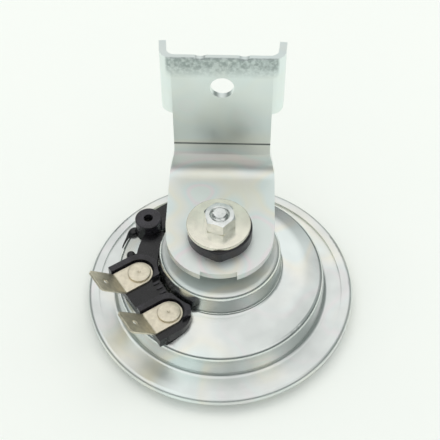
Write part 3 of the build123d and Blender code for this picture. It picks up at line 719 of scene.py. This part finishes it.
class HORN_OT_rivets(bpy.types.Operator):
    """Make both terminal rivets with flat heads and a shallow punch mark"""

    bl_idname = "horn.rivets"
    bl_label = "Terminal rivets"

    def execute(self, context):
        for side in ("upper", "lower"):
            node = f"rivet_{side}"
            low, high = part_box(node)
            head = (high.x - low.x) / 2 / MM
            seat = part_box(f"terminal_{side}")[0].z / MM + TERMINAL_STRIP
            foot, top = low.z / MM, high.z / MM
            outline = [(radius, top - depth) for radius, depth in PUNCH_MARK]
            outline.append((head - HEAD_BORDER, top - HEAD_FALL))
            rounding_middle = (head - HEAD_ROUNDING, top - HEAD_ROUNDING_DEPTH)
            outline += arc(rounding_middle, HEAD_ROUNDING, start=80, stop=-10)
            outline += [(head - HEAD_NARROWING, seat), (SHANK_RADIUS, seat)]
            outline += [(SHANK_RADIUS, foot), (0, foot)]
            piece = lathe(f"head_{side}", outline, node_middle(node), segments=64)
            finish_piece(piece, MATERIALS["tinned_brass"], "tinned_brass", node)
        return {"FINISHED"}


class HORN_OT_stud(bpy.types.Operator):
    """Make the pole core with the thread of its stud"""

    bl_idname = "horn.stud"
    bl_label = "Pole core and stud"

    def execute(self, context):
        shapes = context.scene.horn_shapes
        low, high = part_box("pole_core")
        core, bottom, top = (high.x - low.x) / 2 / MM, low.z / MM, high.z / MM
        neck_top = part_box("spacer_sleeve")[0].z / MM
        neck_foot = neck_top - NECK_LENGTH
        steps, rows_to_a_pitch = 64, 10
        plain = [(core, bottom), (core, neck_foot), (NECK_RADIUS, neck_foot)]
        plain += [(NECK_RADIUS, neck_top), (THREAD_RADIUS, neck_top)]
        rings = [ring_points([radius] * steps, height) for radius, height in plain]
        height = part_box("washer")[0].z / MM
        while height < top:
            rings.append(self.thread_ring(shapes, steps, height, top))
            height += shapes.thread_pitch / rows_to_a_pitch
        rings.append(self.thread_ring(shapes, steps, top, top))
        piece = ring_piece("threaded_core", rings)
        piece.data.set_sharp_from_angle(angle=math.radians(40))
        finish_piece(piece, MATERIALS["zinc_nut"], "zinc_bright", "pole_core")
        return {"FINISHED"}

    def thread_ring(self, shapes, steps, height, top):
        """Points round the thread at a height; its groove is V-shaped and its tip tapers."""
        flank = 0.42
        radii = []
        for step in range(steps):
            phase = (height / shapes.thread_pitch - step / steps) % 1.0
            groove = max(0.0, 1.0 - abs(phase - 0.5) / flank)
            radius = THREAD_RADIUS - shapes.thread_depth * groove
            radii.append(min(radius, THREAD_RADIUS - TIP_TAPER + (top - height)))
        return ring_points(radii, height)


class HORN_OT_nut(bpy.types.Operator):
    """Make the nut with slightly worn corners"""

    bl_idname = "horn.nut"
    bl_label = "Nut"

    def execute(self, context):
        piece = broken_edges("mounting_nut", "hexagon_nut", NUT_EDGE, sharp_degrees=25.0)
        finish_piece(piece, MATERIALS["zinc_nut"], "zinc_bright", "mounting_nut")
        return {"FINISHED"}


class HORN_OT_sealant(bpy.types.Operator):
    """Make the dab of sealing lacquer with the thread it drew out along the shoulder"""

    bl_idname = "horn.sealant"
    bl_label = "Sealing lacquer"

    def execute(self, context):
        shoulder = context.scene.horn_shapes.shoulder_edge
        steps, lift = 20, 0.06
        middles = []
        for way, reach, height, _ in LACQUER:
            angle = math.radians(way)
            middles.append(Vector((reach * math.cos(angle), reach * math.sin(angle), height)))
        rings = []
        for index, middle in enumerate(middles):
            half = LACQUER[index][-1]
            before, after = middles[max(index - 1, 0)], middles[min(index + 1, len(middles) - 1)]
            along = (after - before).normalized()
            across = along.cross(Vector((0, 0, 1))).normalized()
            up = across.cross(along)
            ring = []
            for step in range(steps):
                turn = 2 * math.pi * step / steps
                point = middle + half * (math.cos(turn) * across + math.sin(turn) * up)
                point.z = max(point.z, self.seat(shoulder, point) + lift)
                ring.append(point * MM)
            rings.append(ring)
        piece = ring_piece("lacquer_dab", rings)
        smooth = piece.modifiers.new("drawn", "SUBSURF")
        smooth.levels = smooth.render_levels = 2
        apply_modifiers(piece)
        finish_piece(piece, MATERIALS["black_lacquer"], "black_lacquer", "sealant_dab")
        return {"FINISHED"}

    def seat(self, shoulder, point):
        """Height of the shoulder under a point: it slopes out and falls over its rounded edge."""
        edge, top = shoulder
        slope, fall, rounding = 0.3, 0.45, 0.9
        reach = math.hypot(point.x, point.y)
        return top + slope * (edge - reach) - fall * max(0.0, reach - edge + rounding) ** 2


class HORN_OT_stage(bpy.types.Operator):
    """Set the floor, the soft studio light and the camera"""

    bl_idname = "horn.stage"
    bl_label = "Studio"

    def execute(self, context):
        studio = context.scene.horn_studio
        self.add_floor(studio)
        self.set_world(context, studio)
        for side in (-1, 1):
            self.add_softbox(context, studio, side)
        self.add_camera(context, studio)
        context.scene.view_settings.view_transform = "Standard"
        return {"FINISHED"}

    def add_floor(self, studio):
        """A plain floor that reaches far past what the camera sees."""
        half = studio.floor_side / 2
        corners = [(-half, -half, 0), (half, -half, 0), (half, half, 0), (-half, half, 0)]
        mesh = bpy.data.meshes.new("floor")
        mesh.from_pydata(corners, [], [(0, 1, 2, 3)])
        floor = new_piece("floor", mesh)
        # Matt paper sweep: white, with a faint tooth
        material, tree, shader = new_material("matt_paper_floor", roughness=0.9)
        pattern = {"Vector": object_mm(tree), "Scale": 1 / PAPER_TOOTH, "Detail": 2.0}
        tooth = add_node(tree, "ShaderNodeTexNoise", pattern).outputs["Fac"]
        shades = {0: tooth, 6: studio.floor_color, 7: linear("#FAFBF7")}
        colour = add_node(tree, "ShaderNodeMix", shades, data_type="RGBA").outputs[2]
        tree.links.new(colour, shader.inputs["Base Color"])
        shader.inputs["Specular IOR Level"].default_value = 0.2
        mesh.materials.append(material)

    def add_camera(self, context, studio):
        """The camera at its place, looking down at the horn."""
        data = bpy.data.cameras.new("camera")
        data.lens = studio.lens
        data.sensor_width = 36.0
        data.clip_start = 0.01
        camera = bpy.data.objects.new("camera", data)
        context.scene.collection.objects.link(camera)
        camera.matrix_world = (
            Matrix.Translation(studio.camera_place)
            @ Matrix.Rotation(studio.camera_turn, 4, "Z")
            @ Matrix.Rotation(math.pi / 2 - studio.camera_pitch, 4, "X")
            @ Matrix.Rotation(studio.camera_roll, 4, "Z")
        )
        context.scene.camera = camera

    def add_softbox(self, context, studio, side):
        """A large square lamp above the horn, to one side of its middle."""
        data = bpy.data.lights.new(f"softbox_{'left' if side < 0 else 'right'}", "AREA")
        data.shape = "SQUARE"
        data.size = studio.box_size
        data.energy = studio.box_power
        data.color = studio.box_color[:3]
        lamp = bpy.data.objects.new(data.name, data)
        context.scene.collection.objects.link(lamp)
        aside, back, up = BOX_WAY
        direction = Vector((aside * side, back, up)).normalized()
        lamp.location = direction * studio.box_distance
        lamp.rotation_euler = direction.to_track_quat("Z", "Y").to_euler()
        lamp.visible_glossy = False

    def set_world(self, context, studio):
        """Even light from all round; metal and the camera see it as a pale room."""
        world = bpy.data.worlds.new("pale_room")
        context.scene.world = world
        world.use_nodes = True
        tree = world.node_tree
        tree.nodes.clear()
        ray = add_node(tree, "ShaderNodeLightPath").outputs
        seen = ray["Is Camera Ray"]
        for kind in ("Is Glossy Ray", "Is Transmission Ray"):
            pair = (seen, ray[kind])
            seen = add_node(tree, "ShaderNodeMath", pair, operation="MAXIMUM").outputs[0]
        even = (studio.room_color, studio.room_strength)
        light = add_node(tree, "ShaderNodeBackground", even).outputs[0]
        # Metal sees a pale room, brightest overhead and in its windows and dark along its foot
        look = add_node(tree, "ShaderNodeTexCoord").outputs["Generated"]
        wall = (math.sin(studio.wall_height / 2), math.sin(studio.wall_height))
        layers = [(along_height(tree, look, wall, 0.0, 1.0), studio.ceiling_color)]
        layers.append((self.patch(tree, look, *DULL_SIDE), studio.dull_color))
        layers += [(self.patch(tree, look, *window), studio.window_color) for window in WINDOWS]
        # Beyond the floor's edge the camera sees only the ceiling's pale colour
        layers.append((ray["Is Camera Ray"], studio.ceiling_color))
        colour = studio.wall_color
        for share, over in layers:
            shades = {0: share, 6: colour, 7: over}
            colour = add_node(tree, "ShaderNodeMix", shades, data_type="RGBA").outputs[2]
        room = add_node(tree, "ShaderNodeBackground", (colour, 1.0)).outputs[0]
        both = add_node(tree, "ShaderNodeMixShader", (seen, light, room)).outputs[0]
        add_node(tree, "ShaderNodeOutputWorld", (both,))

    def patch(self, tree, look, way, height, reach, fade):
        """How much of a round patch of the room a ray sees; its place and size are in degrees."""
        way, height, reach, fade = (math.radians(value) for value in (way, height, reach, fade))
        level = math.cos(height)
        toward = (level * math.cos(way), level * math.sin(way), math.sin(height))
        facing = add_node(tree, "ShaderNodeVectorMath", (look, toward), operation="DOT_PRODUCT")
        edges = (math.cos(reach + fade), math.cos(reach))
        shares = (facing.outputs["Value"], *edges, 0.0, 1.0)
        return add_node(tree, "ShaderNodeMapRange", shares).outputs["Result"]


class HORN_PT_panel(bpy.types.Panel):
    """Lists the horn's sizes, finishes and operators"""

    bl_idname = "HORN_PT_panel"
    bl_label = "Disc horn"
    bl_space_type = "VIEW_3D"
    bl_region_type = "UI"
    bl_category = "Horn"

    def draw(self, context):
        scene = context.scene
        for group in (scene.horn_shapes, scene.horn_finishes, scene.horn_studio):
            box = self.layout.box()
            for name in group.bl_rna.properties.keys():
                if name not in ("rna_type", "name"):
                    box.prop(group, name)
        for operator in OPERATORS:
            self.layout.operator(operator.bl_idname)


GROUPS = {"horn_shapes": HornShapes, "horn_finishes": HornFinishes, "horn_studio": HornStudio}
OPERATORS = (
    HORN_OT_finishes,
    HORN_OT_bracket,
    HORN_OT_terminal_block,
    HORN_OT_terminals,
    HORN_OT_rivets,
    HORN_OT_stud,
    HORN_OT_nut,
    HORN_OT_sealant,
    HORN_OT_stage,
)


def register():
    """Register the settings, the operators and the panel."""
    for name, group in GROUPS.items():
        bpy.utils.register_class(group)
        setattr(bpy.types.Scene, name, PointerProperty(type=group))
    for made in OPERATORS + (HORN_PT_panel,):
        bpy.utils.register_class(made)


def unregister():
    """Take them away again."""
    for made in reversed(OPERATORS + (HORN_PT_panel,)):
        bpy.utils.unregister_class(made)
    for name, group in GROUPS.items():
        delattr(bpy.types.Scene, name)
        bpy.utils.unregister_class(group)


def main():
    """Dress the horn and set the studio."""
    register()
    for operator in OPERATORS:
        getattr(bpy.ops.horn, operator.bl_idname.split(".")[1])()


if __name__ == "__main__":
    main()
